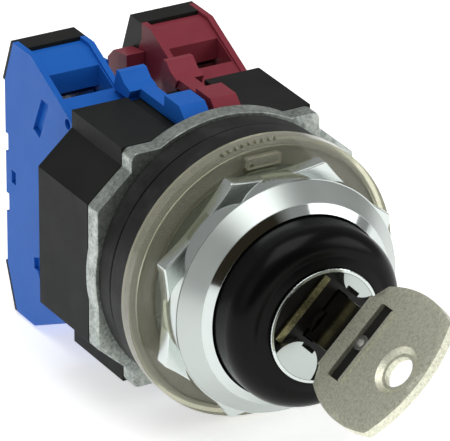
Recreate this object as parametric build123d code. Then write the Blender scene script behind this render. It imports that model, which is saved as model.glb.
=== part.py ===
from build123d import *
import math
import os

# Key-operated selector switch for a 30 mm panel hole.
# X right and Z up as the user sees it. The operator's axis is Y, with the key towards -Y.
# Origin: centre of the panel hole, on the face of the gasket that the panel presses on.

# ---- driving dimensions, millimetres ----------------------------------------------------
# panel fixing
NECK_R = 14.9            # threaded neck, for a 30.5 mm hole
THREAD_PITCH = 1.5
THREAD_DEPTH = 0.45
WASHER_R = 21.0
WASHER_T = 2.0
WASHER_BEAD_W = 1.3      # raised rim
WASHER_NOTCHES = 9       # index notches in the rim, beside the boss
WASHER_NOTCH_STEP = 2.9  # degrees from notch to notch
BOSS_HALF_W = 2.7
BOSS_H = 1.6
GASKET_FRONT_T = 4.3
GASKET_GROOVE_W = 0.4
GASKET_REAR_T = 3.2
GASKET_FRONT_R = 20.5
GASKET_REAR_R = 20.3

# locking ring
OCT_FLATS = 36.0         # across the flats, if they were straight
FLAT_HOLLOW = 0.7        # the flats are hollow by this much at their middle
OCT_T = 2.3
RING_HUB_R = 16.9
RING_HUB_T = 2.6
CROWN_R = 17.5
CROWN_WALL = 2.3         # straight part of the crown
CROWN_CREASE_R = 15.1
CROWN_CREASE_H = 2.8
CROWN_LIP_H = 0.8
RING_LIP_T = 2.2         # wall over the collar's flange

# collar and lock
COLLAR_R = 13.5
COLLAR_FRONT = 19.0      # how far the collar's face stands in front of the panel
COLLAR_ROUND = 3.2
COLLAR_FLANGE_T = 1.0
BARREL_R = 8.5
BARREL_RIM = 0.45
BARREL_FRONT = 19.8
BARREL_REAR = 8.0
PLUG_R = 7.0
PLUG_HEAD_DEPTH = 4.2
PLUG_HEAD_BASE = 1.0
FACE_PLATE_T = 1.7
PAD_CENTRE = 8.3
PAD_R = 3.8
PAD_NOTCH_W = 2.4
PAD_NOTCH_AT = 5.25
KEYWAY_OFFSET = 1.2      # the keyway stands off the plug's axis
CLIP_T = 0.8             # retaining clip
STEM_R = 3.6             # stem that turns the cam
STEM_FLAT = 2.4          # half distance between its flats
KEY_ANGLE = 45.0         # the key's width direction at rest, from +X towards +Z

# key
BLADE_W = 7.6
BLADE_T = 1.8
BLADE_TIP_Y = 4.0
BOW_T = 2.2
BOW_BORDER = 1.1         # width of the sloped border
BOW_BORDER_DROP = 0.4
BOW_NEAR = 24.6
BOW_SHOULDER = 26.2
BOW_CORNER_Y = 41.2
BOW_CORNER_HALF = 9.3
BOW_FAR = 43.6
BOW_BLOCK_HALF = 5.9     # raised block around the slot
BOW_BLOCK_END = 31.3
BOW_BLOCK_RISE = 0.15
BLADE_ROOT = 1.6         # how far the blade runs into the bow
BOW_MID_W = 20.9
BOW_SLOT_W = 12.2
BOW_SLOT_L = 2.6
BOW_SLOT_Y = 29.2
KEY_HOLE_R = 2.3
KEY_HOLE_Y = 38.7
KEY_DISH_R = 3.6
KEY_DISH_DEPTH = 0.6
RIVET_R = 1.15

# wafers
WAFER_COUNT = 4
WAFER_T = 1.0
WAFER_PITCH = 3.5
WAFER_FIRST_Y = -11.0
WAFER_INSET = 0.6        # how far a wafer's ends lie inside the plug's surface
WAFER_W = 5.0
WAFER_LIFT = 0.5

# body plate and housing
PLATE_T = 2.8
PLATE_HALF_W = 20.5
PLATE_SIDE_HALF = 10.6   # half height of the straight side
HORN_HALF_W = 15.1
HORN_HALF_H = 18.1
HORN_STEP = 2.7          # straight part of a horn's outer side
PLATE_ARC_R = 20.9
HOUSING_DEPTH = 14.7
HOUSING_WALL = 2.0
SCREW_X = 17.2           # housing screws
SCREW_R = 1.5
SCREW_CORE_R = 1.3
SCREW_HEAD_R = 2.5
SCREW_HEAD_T = 1.9
LATCH_GROOVE = 0.7       # depth of the groove that the latch arms lie in
LATCH_GROOVE_HALF = 6.2

# cam
CAM_R = 12.2
CAM_BASE_T = 6.0
RECESS_DEPTH = 1.8       # recess in the body plate's rear face
CAM_START = 1.6          # gap from the body plate's rear face to the cam
CAM_LIFT = 3.0
CAM_TURN = 90.0
RAMP_IN_R = 8.0
RAMP_OUT_R = 11.3
DETENT_BALL_R = 1.6

# contact blocks
BLOCK_W = 10.2
BLOCK_GAP = 9.1
BLOCK_DEPTH = 21.2
BLOCK_HALF_H = 21.3
BLOCK_FRONT_HALF_H = 15.3
BLOCK_SLOPE_END = 12.9   # depth at which the sloped ends reach full height
BLOCK_CHAMFER_Y = 18.4
BLOCK_CHAMFER_HALF_H = 14.4
BLOCK_WALL = 0.9
END_RECESS = 0.6         # the sloped ends lie this far below the side walls
POCKET_FRONT = 5.2
POCKET_LEN = 4.4
COVER_PROUD = 0.7
COVER_LEN = 3.4
PLUNGER_W = 3.4
TIP_R = 1.5
BRIDGE_HALF = 7.4
BRIDGE_W = 6.0
BRIDGE_T = 0.8
TIP_T = 0.4              # contact tips
TIP_Z = 6.0
CONTACT_SPRING_L = 1.6
SHOULDER_T = 0.6         # plunger shoulder under the contact spring
STRIP_T = 1.2
STRIP_W = 6.2
STRIP_AT = 9.8           # depth of the fixed contact strips in the block
STRIP_LEG_Z = 9.2
LUG_TOP_Z = 15.3
TERMINAL_Z = 13.2
TERMINAL_SCREW_R = 1.6
TERMINAL_HEAD_R = 2.6
CLAMP_T = 1.0
CHAMBER_Z = 10.3         # inner end of the wire chamber
REAR_WALL = 1.2
RIB_REACH = 3.1          # rib on the inboard wall, towards the other block
RIB_TOP_Z = 17.3
RIB_FOOT_Z = 12.2
RIB_LEN = 5.8

# fits and clearances
RUNNING = 0.05           # shaft in its bore
GAP = 0.1                # small running gap between faces
SLIDE_GAP = 0.2          # guides of sliding parts
FIT = 0.02               # pieces that seat on each other

# ---- derived places along Y --------------------------------------------------------------
plate_front = GASKET_FRONT_T + GASKET_GROOVE_W + GASKET_REAR_T
plate_rear = plate_front + PLATE_T
housing_rear = plate_rear + HOUSING_DEPTH
ring_rear = -WASHER_T
oct_rear = ring_rear - RING_HUB_T
oct_front = oct_rear - OCT_T
crown_top = oct_front - CROWN_WALL
crease_y = crown_top - CROWN_CREASE_H
lip_front = crease_y - CROWN_LIP_H
lip_rear = lip_front + RING_LIP_T
flange_front = lip_rear + GAP
neck_front = flange_front + COLLAR_FLANGE_T
recess_floor = plate_rear - RECESS_DEPTH
cam_front = plate_rear + CAM_START
cam_rear = cam_front + CAM_BASE_T
block_front = housing_rear
block_rear = block_front + BLOCK_DEPTH
block_mid_x = BLOCK_GAP / 2 + BLOCK_W / 2
block_in_x = BLOCK_GAP / 2
block_out_x = BLOCK_GAP / 2 + BLOCK_W
wafer_half = PLUG_R - WAFER_INSET
head_r = BARREL_R - BARREL_RIM - RUNNING
head_rear = -BARREL_FRONT + PLUG_HEAD_DEPTH - GAP
head_base_front = head_rear - PLUG_HEAD_BASE
face_front = head_base_front - FACE_PLATE_T
plug_rear = BARREL_REAR + 1.6
detent_y = cam_front + CAM_BASE_T / 2
strip_front = block_front + STRIP_AT
lug_front = block_front + POCKET_FRONT - STRIP_T
clamp_front = block_front + POCKET_FRONT + POCKET_LEN
head_front = clamp_front + CLAMP_T + FIT
plunger_rear = block_front + 16.0
cover_front = block_rear - COVER_LEN - 2.2
tip_offset = TIP_R / math.cos(math.atan(CAM_LIFT / math.radians(CAM_TURN) / RAMP_IN_R)) + GAP


# ---- helpers -----------------------------------------------------------------------------
def disc(radius, y_from, y_to, x=0.0, z=0.0):
    """A cylinder along Y between two depths."""
    plane = Plane(origin=(x, y_from, z), x_dir=(1, 0, 0), z_dir=(0, 1, 0))
    return extrude(plane * Circle(radius), y_to - y_from)


def tube(outer, inner, y_from, y_to):
    """A ring along Y between two depths."""
    return disc(outer, y_from, y_to) - disc(inner, y_from - 1, y_to + 1)


def block(x0, x1, y0, y1, z0, z1):
    """A box between two corners."""
    size = (abs(x1 - x0), abs(y1 - y0), abs(z1 - z0))
    return Pos((x0 + x1) / 2, (y0 + y1) / 2, (z0 + z1) / 2) * Box(*size)


def prism_y(points, y_from, y_to):
    """A closed outline of (x, z) points, extruded along Y."""
    face = make_face(Polyline([Vector(x, y_from, z) for x, z in points], close=True))
    return extrude(face, amount=y_to - y_from, dir=(0, 1, 0))


def prism_x(points, x_from, x_to):
    """A closed outline of (y, z) points, extruded along X."""
    face = make_face(Polyline([Vector(x_from, y, z) for y, z in points], close=True))
    return extrude(face, amount=x_to - x_from, dir=(1, 0, 0))


def turned(points):
    """A ring or disc turned about Y from (radius, y) points."""
    face = make_face(Polyline([Vector(r, y, 0) for r, y in points], close=True))
    return revolve(face, Axis.Y)


def at_key(shape):
    """Turns a shape drawn with the key's width along X into the key's rest position."""
    return Rot(0, -KEY_ANGLE, 0) * shape


def save(shape, name):
    """Writes one node."""
    export_step(shape, f"parts/{name}.step")


def coil(radius, wire_r, length, turns, x, y, z=0.0):
    """A compression spring along Y, starting at depth y."""
    pitch = (length - 2 * wire_r) / turns
    path = Helix(pitch=pitch, height=pitch * turns, radius=radius)
    start = path @ 0
    section = Plane(origin=start, z_dir=path % 0) * Circle(wire_r)
    wound = sweep(section, path=path)
    return Pos(x, y + wire_r, z) * Rot(-90, 0, 0) * wound


# ---- panel fixing ------------------------------------------------------------------------
def plate_outline():
    """Half of the body plate's outline and the housing's, from the right horn to the right side."""
    return [
        (HORN_HALF_W, HORN_HALF_H),
        (HORN_HALF_W, HORN_HALF_H - HORN_STEP),
        (PLATE_HALF_W, PLATE_SIDE_HALF),
    ]


def horned_plate(y_from, y_to):
    """The flat plate with four horns and an arc at top and bottom."""
    right = plate_outline()
    order = right + [(x, -z) for x, z in reversed(right)]
    order += [(-x, -z) for x, z in right] + [(-x, z) for x, z in reversed(right)]
    plate = prism_y(order, y_from, y_to)
    plate = plate.fillet(1.2, [e for e in plate.edges().filter_by(Axis.Y)
                               if abs(e.center().Z) > HORN_HALF_H - 0.1])
    return plate + disc(PLATE_ARC_R, y_from, y_to)


def operator_body():
    """Zinc body: horned plate and threaded neck, with the rear recess for the cam."""
    body = horned_plate(plate_front, plate_rear)
    neck = [(BARREL_R + FIT, neck_front), (NECK_R - THREAD_DEPTH, neck_front)]
    y = neck_front + 0.3
    while y + THREAD_PITCH < -FIT:
        neck += [(NECK_R - THREAD_DEPTH, y), (NECK_R, y + THREAD_PITCH / 2)]
        y += THREAD_PITCH
    neck += [(NECK_R - THREAD_DEPTH, y), (NECK_R, y + 0.5), (NECK_R, plate_front + 1)]
    neck += [(BARREL_R + FIT, plate_front + 1)]
    body = body + turned(neck)
    body = body - disc(BARREL_R + FIT, neck_front - 1, plate_rear + 1)
    body = body - disc(CAM_R + 0.5, recess_floor, plate_rear + 1)
    for side in (-1, 1):
        body = body - disc(SCREW_CORE_R, plate_front + 0.6, plate_rear + 1, x=side * SCREW_X)
    return body


def gasket(outer, y_from, y_to, groove=0.0):
    """A flat rubber ring. The rear one has a thinner step that leaves a groove in front of it."""
    ring = tube(outer, NECK_R + 0.1, y_from, y_to)
    ring = ring.fillet(0.5, [e for e in ring.edges() if e.geom_type == GeomType.CIRCLE and e.radius > outer - 0.1])
    if groove:
        ring = ring + tube(outer - 1.2, NECK_R + 0.1, y_from - groove, y_from + 0.1)
    return ring


def thrust_washer():
    """Clear washer under the locking ring, with a raised rim, index notches in it and a boss."""
    washer = disc(WASHER_R, -WASHER_T, 0)
    washer = washer - tube(WASHER_R - WASHER_BEAD_W, RING_HUB_R - 0.4, -WASHER_T - 1, -WASHER_T + 0.5)
    low = RING_HUB_R + 0.3
    boss = block(-BOSS_HALF_W, BOSS_HALF_W, -WASHER_T - 0.8, -0.5, low, low + BOSS_H)
    boss = boss.fillet(0.3, boss.edges().filter_by(Axis.Y))
    washer = washer + boss - disc(0.35, -WASHER_T - 2, -WASHER_T - 0.3, x=-1.9, z=low + 0.5)
    for i in range(WASHER_NOTCHES):
        notch = block(-0.25, 0.25, -WASHER_T - 1, -WASHER_T + 0.5, WASHER_R - 0.5, WASHER_R + 1)
        washer = washer - Rot(0, WASHER_NOTCH_STEP * (i - 6), 0) * notch
    return washer - disc(NECK_R + 0.15, -WASHER_T - 2, 1)


def scalloped_octagon():
    """The nut's outline: eight corners joined by hollow flats."""
    apothem = OCT_FLATS / 2
    corner_r = apothem / math.cos(math.pi / 8)
    step = math.pi / 4

    def place(radius, angle):
        return Vector(radius * math.cos(angle), oct_front, radius * math.sin(angle))

    edges = []
    for i in range(8):
        middle = i * step
        edges.append(ThreePointArc(place(corner_r, middle - step / 2), place(apothem - FLAT_HOLLOW, middle),
                                   place(corner_r, middle + step / 2)))
    return make_face(edges)


def locking_ring():
    """Chromed octagonal nut with a crowned front ring and a lip over the collar's flange."""
    nut = extrude(scalloped_octagon(), amount=OCT_T, dir=(0, 1, 0))
    nut = nut.fillet(0.5, nut.edges().filter_by(Axis.Y))
    hub = disc(RING_HUB_R, oct_rear - 0.5, ring_rear)
    crown = turned([
        (0, oct_rear - 0.5), (CROWN_R, oct_rear - 0.5), (CROWN_R, crown_top),
        (CROWN_CREASE_R, crease_y), (COLLAR_R + 0.25, lip_front), (0, lip_front),
    ])
    ring = nut + hub + crown
    ring = ring - disc(NECK_R + 0.12, lip_rear, ring_rear + 1)
    return ring - disc(COLLAR_R + 0.2, lip_front - 1, lip_rear + 1)


# ---- collar and lock ---------------------------------------------------------------------
def bezel_collar():
    """Black rounded collar around the lock, held by its flange behind the ring's lip."""
    shoulder = -COLLAR_FRONT + COLLAR_ROUND
    outer = turned([
        (BARREL_R + 0.1, -COLLAR_FRONT), (COLLAR_R, -COLLAR_FRONT), (COLLAR_R, flange_front),
        (NECK_R - 0.2, flange_front), (NECK_R - 0.2, neck_front - GAP / 2), (BARREL_R + 0.1, neck_front - GAP / 2),
    ])
    front_edge = [e for e in outer.edges() if e.geom_type == GeomType.CIRCLE
                  and abs(e.radius - COLLAR_R) < 0.01 and e.center().Y < shoulder]
    collar = outer.fillet(COLLAR_ROUND - 0.1, front_edge)
    lip = turned([
        (BARREL_R + 0.1, -COLLAR_FRONT + 0.5), (BARREL_R + 1.6, -COLLAR_FRONT + 0.5),
        (BARREL_R + 0.5, -COLLAR_FRONT - 0.45), (BARREL_R + 0.1, -COLLAR_FRONT - 0.45),
    ])
    return collar + lip


def lock_barrel():
    """Chromed barrel: a thin bright rim in front, and grooves that take the wafers when locked."""
    barrel = disc(BARREL_R, -BARREL_FRONT, BARREL_REAR + 2.2)
    barrel = barrel.fillet(0.15, [barrel.edges().filter_by(GeomType.CIRCLE).sort_by(Axis.Y)[0]])
    barrel = barrel - disc(PLUG_R + RUNNING, -BARREL_FRONT - 1, BARREL_REAR + 3)
    barrel = barrel - disc(BARREL_R - BARREL_RIM, -BARREL_FRONT - 1, -BARREL_FRONT + PLUG_HEAD_DEPTH)
    first = WAFER_FIRST_Y - 1.5
    last = WAFER_FIRST_Y + WAFER_PITCH * (WAFER_COUNT - 1) + WAFER_T + 1.5
    half = WAFER_W / 2 + SLIDE_GAP
    for turn in (0, CAM_TURN):
        groove = block(0, PLUG_R + WAFER_LIFT + 0.25, first, last, -half, half)
        barrel = barrel - Rot(0, -turn, 0) * at_key(groove)
    clip_slot = tube(BARREL_R + 1, BARREL_R - 0.5, recess_floor, recess_floor + CLIP_T + 2 * FIT)
    return barrel - clip_slot


def keyway(y_from, y_to, grow=SLIDE_GAP):
    """The slot that the blade passes through, with the key's width along X."""
    half_w = BLADE_W / 2 + grow
    half_t = BLADE_T / 2 + grow
    return block(KEYWAY_OFFSET - half_w, KEYWAY_OFFSET + half_w, y_from, y_to, -half_t, half_t)


def pad_shape(side, y_from, y_to):
    """One bright pad of the plug's face, with the notch at the end of the keyway."""
    centre = KEYWAY_OFFSET + side * PAD_CENTRE
    pad = disc(PAD_R, y_from, y_to, x=centre) & disc(head_r, y_from - 1, y_to + 1)
    notch_end = KEYWAY_OFFSET + side * PAD_NOTCH_AT
    notch = block(KEYWAY_OFFSET, notch_end, y_from - 1, y_to + 1, -PAD_NOTCH_W / 2, PAD_NOTCH_W / 2)
    return pad - notch


def lock_plug():
    """The turning plug: head with two bright pads, slotted body for the wafers, and a stem with flats."""
    plug = disc(head_r, head_base_front, head_rear) + disc(PLUG_R, head_rear - 0.5, plug_rear)
    for side in (-1, 1):
        plug = plug + pad_shape(side, -BARREL_FRONT, head_base_front + 0.1)
    stem = disc(STEM_R, plug_rear - 0.5, cam_rear - 2.5)
    stem = stem & block(-STEM_R, STEM_R, plug_rear - 1, cam_rear, -STEM_FLAT, STEM_FLAT)
    plug = plug + stem
    plug = plug - keyway(-BARREL_FRONT - 1, BLADE_TIP_Y + 1.0)
    for i in range(WAFER_COUNT):
        y = WAFER_FIRST_Y + i * WAFER_PITCH
        half = WAFER_W / 2 + RUNNING
        plug = plug - block(-PLUG_R - 1, PLUG_R + 1, y - RUNNING, y + WAFER_T + RUNNING, -half, half)
    plug = plug - disc(1.3, plug_rear + 1, cam_rear)
    return at_key(plug)


def plug_face():
    """Black plate on the floor of the plug's face, between the pads, with a low centre ring."""
    plate = disc(head_r - 0.05, face_front, head_base_front - FIT)
    for side in (-1, 1):
        centre = KEYWAY_OFFSET + side * PAD_CENTRE
        notch_end = KEYWAY_OFFSET + side * (PAD_NOTCH_AT - FIT)
        cutter = disc(PAD_R + FIT, face_front - 1, head_base_front + 1, x=centre)
        cutter = cutter - block(KEYWAY_OFFSET, notch_end, face_front - 2, head_base_front + 2,
                                -PAD_NOTCH_W / 2 + FIT, PAD_NOTCH_W / 2 - FIT)
        plate = plate - cutter
    plate = plate + (disc(1.95, face_front - 0.9, face_front + 0.1) - disc(1.3, face_front - 2, face_front))
    plate = plate - keyway(face_front - 2, head_base_front + 1)
    plate = plate - strip_seat(FIT)
    return at_key(plate)


def strip_seat(grow=0.0):
    """The space of the shutter spring, a straight strip across the plug's face."""
    half = 5.6 + grow
    return block(-half, half, face_front - 0.45 - grow, face_front + 0.4 + grow, 3.5 - grow, 4.7 + grow)


def shutter_spring():
    """Straight brass strip let into the face plate."""
    return at_key(strip_seat())


def wafer(index):
    """A flat tumbler with a window that the blade passes through."""
    y = WAFER_FIRST_Y + index * WAFER_PITCH
    plate = block(-wafer_half, wafer_half, y, y + WAFER_T, -WAFER_W / 2, WAFER_W / 2)
    low = KEYWAY_OFFSET - BLADE_W / 2 - WAFER_LIFT - 0.15
    high = KEYWAY_OFFSET + BLADE_W / 2 + 0.2
    half_t = BLADE_T / 2 + SLIDE_GAP
    return at_key(plate - block(low, high, y - 1, y + WAFER_T + 1, -half_t, half_t))


def barrel_clip():
    """Open ring in the barrel's groove, behind the body's bore."""
    y = recess_floor + FIT
    clip = tube(BARREL_R + 1.2, BARREL_R - 0.45, y, y + CLIP_T)
    return clip - block(-3, 3, y - 1, y + CLIP_T + 1, -BARREL_R - 3, -2)


# ---- key ---------------------------------------------------------------------------------
def key_blade():
    """Flat double-edged blade with wafer cuts, necked down in front of the lock."""
    left = KEYWAY_OFFSET - BLADE_W / 2
    right = KEYWAY_OFFSET + BLADE_W / 2
    blade = block(left, right, face_front + 1.0, BLADE_TIP_Y, -BLADE_T / 2, BLADE_T / 2)
    tip_edges = [e for e in blade.edges().filter_by(Axis.Z) if e.center().Y > BLADE_TIP_Y - 0.1]
    blade = blade.chamfer(1.2, None, tip_edges)
    cuts = (0.5, 0.8, 0.3, 0.6)
    for i, depth in enumerate(cuts):
        y = WAFER_FIRST_Y + i * WAFER_PITCH + WAFER_T / 2
        for edge, inward in ((left, 1), (right, -1)):
            pts = [(edge - inward, y - 1.6), (edge - inward, y + 1.6),
                   (edge + inward * depth, y + 0.5), (edge + inward * depth, y - 0.5)]
            face = make_face(Polyline([Vector(a, b, -BLADE_T) for a, b in pts], close=True))
            blade = blade - extrude(face, amount=2 * BLADE_T, dir=(0, 0, 1))
    root = block(left, right, -BOW_NEAR - BLADE_ROOT, face_front + 1.1, -BLADE_T / 2, BLADE_T / 2)
    return at_key(blade + root)


def bow_outline(inset=0.0):
    """The bow's outline: a straight near edge, sides that widen, and a curved far edge."""
    x = KEYWAY_OFFSET
    near = -BOW_NEAR - inset * 0.7
    shoulder = -BOW_SHOULDER - inset
    far = -BOW_FAR + inset
    half = BOW_MID_W / 2 - inset
    corner_y = -BOW_CORNER_Y + inset
    corner = BOW_CORNER_HALF - inset
    return make_face([
        Line((x - 5.7, near), (x + 5.7, near)),
        Line((x + 5.7, near), (x + 8.4 - inset, shoulder)),
        ThreePointArc((x + 8.4 - inset, shoulder), (x + half, -34.2), (x + corner, corner_y)),
        ThreePointArc((x + corner, corner_y), (x, far), (x - corner, corner_y)),
        ThreePointArc((x - corner, corner_y), (x - half, -34.2), (x - 8.4 + inset, shoulder)),
        Line((x - 8.4 + inset, shoulder), (x - 5.7, near)),
    ])


def key_bow():
    """Die-cast bow: sloped border, raised block with a slot, a dished ring hole and a far-edge groove."""
    core_half = BOW_T / 2 - BOW_BORDER_DROP
    bow = extrude(bow_outline(), amount=core_half, both=True)
    bow = bow.fillet(0.8, [e for e in bow.edges().filter_by(Axis.Z) if e.center().Y < -40])
    for side in (-1, 1):
        low = Pos(0, 0, side * core_half) * bow_outline(0.05)
        high = Pos(0, 0, side * BOW_T / 2) * bow_outline(BOW_BORDER)
        bow = bow + loft([low, high])
    raised = block(KEYWAY_OFFSET - BOW_BLOCK_HALF, KEYWAY_OFFSET + BOW_BLOCK_HALF, -BOW_BLOCK_END, -BOW_NEAR,
                   -BOW_T / 2 - BOW_BLOCK_RISE, BOW_T / 2 + BOW_BLOCK_RISE)
    raised = raised.chamfer(0.35, None, [e for e in raised.edges().filter_by(Axis.X) if e.center().Y > -BOW_NEAR - 0.1])
    bow = bow + raised
    bow = bow - block(KEYWAY_OFFSET - BOW_SLOT_W / 2, KEYWAY_OFFSET + BOW_SLOT_W / 2,
                      -BOW_SLOT_Y - BOW_SLOT_L / 2, -BOW_SLOT_Y + BOW_SLOT_L / 2, -BOW_T, BOW_T)
    wide, narrow = KEY_DISH_R, KEY_HOLE_R + 0.5
    for side in (-1, 1):
        radii = (wide, narrow) if side < 0 else (narrow, wide)
        centre = side * (BOW_T / 2 - KEY_DISH_DEPTH / 2 + 0.01)
        bow = bow - Pos(KEYWAY_OFFSET, -KEY_HOLE_Y, centre) * Cone(*radii, KEY_DISH_DEPTH + 0.02)
    bow = bow - Pos(KEYWAY_OFFSET, -KEY_HOLE_Y, 0) * Cylinder(KEY_HOLE_R, 2 * BOW_T)
    half_w = BLADE_W / 2 + FIT
    return at_key(bow - block(KEYWAY_OFFSET - half_w, KEYWAY_OFFSET + half_w, -BOW_NEAR - BLADE_ROOT - FIT,
                              -BOW_NEAR + 1, -BLADE_T / 2 - FIT, BLADE_T / 2 + FIT))


def key_inlay():
    """Black bar that fills the bow's slot below its faces."""
    half_w = BOW_SLOT_W / 2 - FIT
    half_l = BOW_SLOT_L / 2 - FIT
    half_t = BOW_T / 2 - 0.6
    bar = block(KEYWAY_OFFSET - half_w, KEYWAY_OFFSET + half_w, -BOW_SLOT_Y - half_l, -BOW_SLOT_Y + half_l,
                -half_t, half_t)
    return at_key(bar - Pos(KEYWAY_OFFSET, -BOW_SLOT_Y, 0) * Cylinder(RIVET_R + FIT, 2 * BOW_T))


def key_rivet():
    """Hollow rivet through the inlay."""
    rivet = Cylinder(RIVET_R, BOW_T - 0.1) - Cylinder(0.62, 2 * BOW_T)
    return at_key(Pos(KEYWAY_OFFSET, -BOW_SLOT_Y, 0) * rivet)


# ---- housing and cam ---------------------------------------------------------------------
def housing_points(inset=0.0):
    """The housing's section, which follows the body plate without its arcs."""
    top = HORN_HALF_H - inset
    side = PLATE_HALF_W - inset
    x_top = HORN_HALF_W - inset
    z_step = HORN_HALF_H - HORN_STEP - inset * 0.5
    z_side = PLATE_SIDE_HALF - inset * 0.5
    right = [(x_top, top), (x_top, z_step), (side, z_side), (side, -z_side), (x_top, -z_step), (x_top, -top)]
    return right + [(-x, z) for x, z in reversed(right)]


def adapter_housing():
    """Black housing between the body plate and the contact blocks, open in front."""
    shell = prism_y(housing_points(), plate_rear, housing_rear)
    shell = shell - prism_y(housing_points(HOUSING_WALL), plate_rear - 1, housing_rear - HOUSING_WALL)
    for side in (-1, 1):
        boss = disc(2.8, plate_rear, housing_rear, x=side * SCREW_X)
        boss = boss & prism_y(housing_points(), plate_rear, housing_rear)
        shell = shell + boss
    for side in (-1, 1):
        shell = shell - disc(SCREW_R + 0.1, plate_rear - 1, housing_rear + 1, x=side * SCREW_X)
        shell = shell - disc(SCREW_HEAD_R + 0.2, housing_rear - SCREW_HEAD_T, housing_rear + 1, x=side * SCREW_X)
        half = PLUNGER_W / 2 + SLIDE_GAP
        x = side * block_mid_x
        shell = shell - block(x - half, x + half, housing_rear - 3, housing_rear + 1, -half, half)
        post = block(-3.2, 3.2, detent_y - 2.6, detent_y + 2.6, side * (CAM_R + 0.6), side * (HORN_HALF_H - 1))
        post = post - detent_bore(side)
        shell = shell - disc_z(DETENT_BALL_R + 0.1, 0, detent_y, side * (CAM_R - 1), side * (HORN_HALF_H - 1.1))
        shell = shell + post
        shell = shell - block(-LATCH_GROOVE_HALF, LATCH_GROOVE_HALF, plate_rear - 1, housing_rear + 1,
                              side * (HORN_HALF_H - LATCH_GROOVE), side * (HORN_HALF_H + 1))
    return shell


def disc_z(radius, x, y, z_from, z_to):
    """A cylinder along Z between two heights."""
    low, high = min(z_from, z_to), max(z_from, z_to)
    return Pos(x, y, (low + high) / 2) * Cylinder(radius, high - low)


def disc_x(radius, x_from, x_to, y, z):
    """A cylinder along X between two places."""
    return Pos((x_from + x_to) / 2, y, z) * Rot(0, 90, 0) * Cylinder(radius, x_to - x_from)


def detent_bore(side):
    """The bore of a detent's post, closed at its outer end."""
    return disc_z(DETENT_BALL_R + 0.1, 0, detent_y, side * (CAM_R - 1), side * (HORN_HALF_H - HOUSING_WALL))


def housing_screws():
    """Two pan-head screws that hold the housing to the body plate."""
    screws = []
    for side in (-1, 1):
        x = side * SCREW_X
        head = disc(SCREW_HEAD_R, housing_rear - SCREW_HEAD_T + FIT, housing_rear - 0.2, x=x)
        head = head.fillet(0.5, [head.edges().filter_by(GeomType.CIRCLE).sort_by(Axis.Y)[-1]])
        cut_y = housing_rear - 1.0
        for size in ((1.8, 0.3), (0.3, 1.8)):
            head = head - block(x - size[0], x + size[0], cut_y, housing_rear + 1, -size[1], size[1])
        shank = disc(SCREW_R, plate_rear, housing_rear - SCREW_HEAD_T + 0.5, x=x)
        core = disc(SCREW_CORE_R - FIT, plate_front + 0.9, plate_rear + 0.5, x=x)
        screws.append(head + shank + core)
    return Compound(screws)


def cam_rotor():
    """White cam: a disc with two rising ramps on its rear face and a detent groove around its rim."""
    rotor = disc(CAM_R, cam_front, cam_rear)
    for start in (0, 180):
        rotor = rotor + ramp(start)
    groove_half = 1.9
    track = turned([
        (CAM_R - 0.9, detent_y - groove_half), (CAM_R + 1, detent_y - groove_half),
        (CAM_R + 1, detent_y + groove_half), (CAM_R - 0.9, detent_y + groove_half),
    ])
    rotor = rotor - track
    for a in range(4):
        notch = disc_z(1.5, 0, detent_y, CAM_R - 1.6, CAM_R + 1)
        rotor = rotor - Rot(0, a * 90, 0) * notch
    socket = disc(STEM_R + RUNNING, cam_front - 1, cam_rear - 2.4)
    socket = socket & block(-9, 9, cam_front - 2, cam_rear, -STEM_FLAT - RUNNING, STEM_FLAT + RUNNING)
    rotor = rotor - at_key(socket)
    rotor = rotor - disc(1.65, cam_front, cam_rear + 1)
    return rotor - disc(3.2, cam_rear - 1.4, cam_rear + 1)


def ramp(start):
    """A ramp that falls by the cam's lift over its turn, as lofted radial sections."""
    sections = []
    steps = 9
    angles = [-CAM_TURN - 9 + (CAM_TURN + 18) * i / (2 * steps) for i in range(2 * steps + 1)]
    for a in angles:
        rise = CAM_LIFT * min(1.0, max(0.0, 1 + a / CAM_TURN))
        theta = math.radians(start + a)
        ux, uz = math.cos(theta), math.sin(theta)
        y0, y1 = cam_rear - 0.6, cam_rear + 0.02 + rise
        pts = [Vector(ux * r, y, uz * r) for r, y in
               ((RAMP_IN_R, y0), (RAMP_OUT_R, y0), (RAMP_OUT_R, y1), (RAMP_IN_R, y1))]
        sections.append(make_face(Polyline(pts, close=True)))
    return loft(sections, ruled=True)


def cam_screw():
    """Screw that holds the cam on the plug's stem."""
    head = disc(2.8, cam_rear - 1.38, cam_rear - 0.1)
    head = head - block(-2.9, 2.9, cam_rear - 0.8, cam_rear + 1, -0.35, 0.35)
    return head + disc(1.25, plug_rear + 1.2, cam_rear - 1.2)


def detent_balls():
    """Two steel balls that ride in the cam's rim."""
    return Compound([Pos(0, detent_y, s * (CAM_R - 0.9 + GAP + DETENT_BALL_R)) * Sphere(DETENT_BALL_R)
                     for s in (-1, 1)])


def detent_springs():
    """Two coil springs behind the balls."""
    springs = []
    low = CAM_R - 0.9 + GAP + 2 * DETENT_BALL_R + GAP
    length = HORN_HALF_H - HOUSING_WALL - low - GAP
    for side in (-1, 1):
        upright = Rot(90, 0, 0) * coil(0.95, 0.2, length, 3, 0, 0)
        placed = Pos(0, detent_y, low) * upright
        springs.append(placed if side > 0 else Rot(0, 180, 0) * placed)
    return Compound(springs)


# ---- contact blocks ----------------------------------------------------------------------
# Drawn for the right-hand block. The left-hand one is its mirror image.
def wall_outline():
    """Upper half of the side wall's outline, as (y, z)."""
    return [
        (block_front, 0.0),
        (block_front, BLOCK_FRONT_HALF_H),
        (block_front + BLOCK_SLOPE_END, BLOCK_HALF_H),
        (block_front + BLOCK_CHAMFER_Y, BLOCK_HALF_H),
        (block_rear, BLOCK_CHAMFER_HALF_H),
        (block_rear, 0.0),
    ]


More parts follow.
